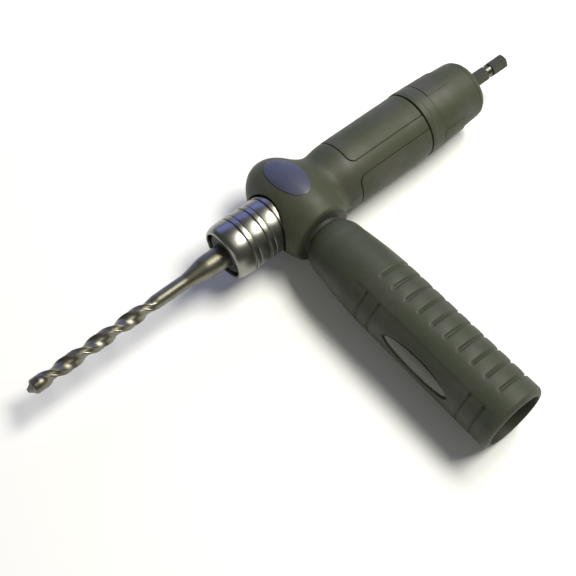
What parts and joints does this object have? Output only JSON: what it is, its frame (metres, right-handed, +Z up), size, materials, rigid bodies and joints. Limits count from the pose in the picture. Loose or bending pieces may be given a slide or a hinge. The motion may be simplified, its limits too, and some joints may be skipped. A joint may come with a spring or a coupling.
{
  "type": "percussion drilling attachment",
  "caption": "Hex-driven hammer drilling attachment with a quick-release bit holder, masonry bit and screw-in side handle.",
  "frame": {"origin": "centre of the drive shank's end face, where it bottoms in the drill's chuck", "axes": "+X along the tool axis out of the shank's end, so the bit points to -X; -Y along the side handle; +Z up, square to both"},
  "size_m": [0.2578, 0.1524, 0.0361],
  "materials": {
    "housing_plastic": "fine-grained dark moulded plastic",
    "soft_grip": "soft overmoulded grip, satin",
    "badge_plate": "slate blue satin plate",
    "sleeve_steel": "turned and nickel plated",
    "bit_steel": "steam-blued drill steel",
    "shank_steel": "ground tool steel",
    "carbide": "sintered carbide, brazed in",
    "bearing_steel": "ground and polished",
    "spring_steel": "oiled spring wire",
    "bush_bronze": "sintered bronze",
    "seal_rubber": "nitrile rubber",
    "insert_brass": "turned"
  },
  "bodies": {
    "root": {"main_housing": "housing_plastic", "badge": "badge_plate", "grip_pad_upper": "soft_grip", "grip_pad_lower": "soft_grip", "grip_pad_side": "soft_grip", "rear_cap": "housing_plastic", "rear_cap_cover": "soft_grip", "front_seal": "seal_rubber", "spindle_bush": "bush_bronze", "rear_seal": "seal_rubber", "bearing_outer_ring": "bearing_steel", "ratchet_ring": "shank_steel", "handle_insert": "insert_brass"},
    "drive": {"drive_shaft": "shank_steel", "spindle": "shank_steel", "bit_drive_keys": "shank_steel", "dust_cap": "seal_rubber", "sleeve_stop_ring": "spring_steel", "spring_seat_washer": "shank_steel", "front_thrust_washer": "bush_bronze", "rear_thrust_washer": "bush_bronze", "bearing_inner_ring": "bearing_steel", "bearing_balls": "bearing_steel", "shaft_circlip": "spring_steel", "hammer_spring": "spring_steel", "sleeve_spring": "spring_steel"},
    "striker_group": {"striker": "shank_steel", "striker_keys": "shank_steel"},
    "anvil_group": {"anvil": "shank_steel", "anvil_damping_ring": "seal_rubber"},
    "sleeve_group": {"chuck_sleeve": "sleeve_steel"},
    "upper_ball": {"lock_ball_upper": "bearing_steel"},
    "lower_ball": {"lock_ball_lower": "bearing_steel"},
    "bit": {"drill_bit": "bit_steel", "carbide_tip": "carbide"},
    "handle_carriage": {"handle_washer": "seal_rubber"},
    "handle": {"handle_core": "housing_plastic", "handle_grip": "soft_grip", "handle_stud": "shank_steel", "handle_end_plug": "housing_plastic", "handle_inlay": "soft_grip"}
  },
  "joints": [
    {"name": "drive_spin", "type": "hinge", "parent": "root", "child": "drive", "pos_m": [0, 0, 0], "axis": [1, 0, 0], "continuous": true},
    {"name": "striker_slide", "type": "slide", "parent": "drive", "child": "striker_group", "axis": [1, 0, 0], "range_m": [0, 0.002], "stiffness_N_per_m": 2000, "springref_m": -0.005, "deforming": ["hammer_spring"]},
    {"name": "anvil_slide", "type": "slide", "parent": "drive", "child": "anvil_group", "axis": [-1, 0, 0], "range_m": [0, 0.0008]},
    {"name": "sleeve_slide", "type": "slide", "parent": "drive", "child": "sleeve_group", "axis": [1, 0, 0], "range_m": [0, 0.005], "stiffness_N_per_m": 1500, "springref_m": -0.006, "deforming": ["sleeve_spring"]},
    {"name": "upper_ball_slide", "type": "slide", "parent": "drive", "child": "upper_ball", "axis": [0, 0, 1], "range_m": [0, 0.0014]},
    {"name": "lower_ball_slide", "type": "slide", "parent": "drive", "child": "lower_ball", "axis": [0, 0, -1], "range_m": [0, 0.0014]},
    {"name": "bit_slide", "type": "slide", "parent": "drive", "child": "bit", "axis": [-1, 0, 0], "range_m": [0, 0.008]},
    {"name": "handle_slide", "type": "slide", "parent": "root", "child": "handle_carriage", "axis": [0, -1, 0], "range_m": [0, 0.0025]},
    {"name": "handle_turn", "type": "hinge", "parent": "handle_carriage", "child": "handle", "pos_m": [-0.126, 0, 0], "axis": [0, -1, 0], "range_deg": [0, 721]}
  ],
  "couplings": [
    {"joint": "upper_ball_slide", "follows": "sleeve_slide", "ratio": 0.27},
    {"joint": "lower_ball_slide", "follows": "sleeve_slide", "ratio": 0.27},
    {"joint": "handle_turn", "follows": "handle_slide", "rad_per_m": 5026.5}
  ]
}
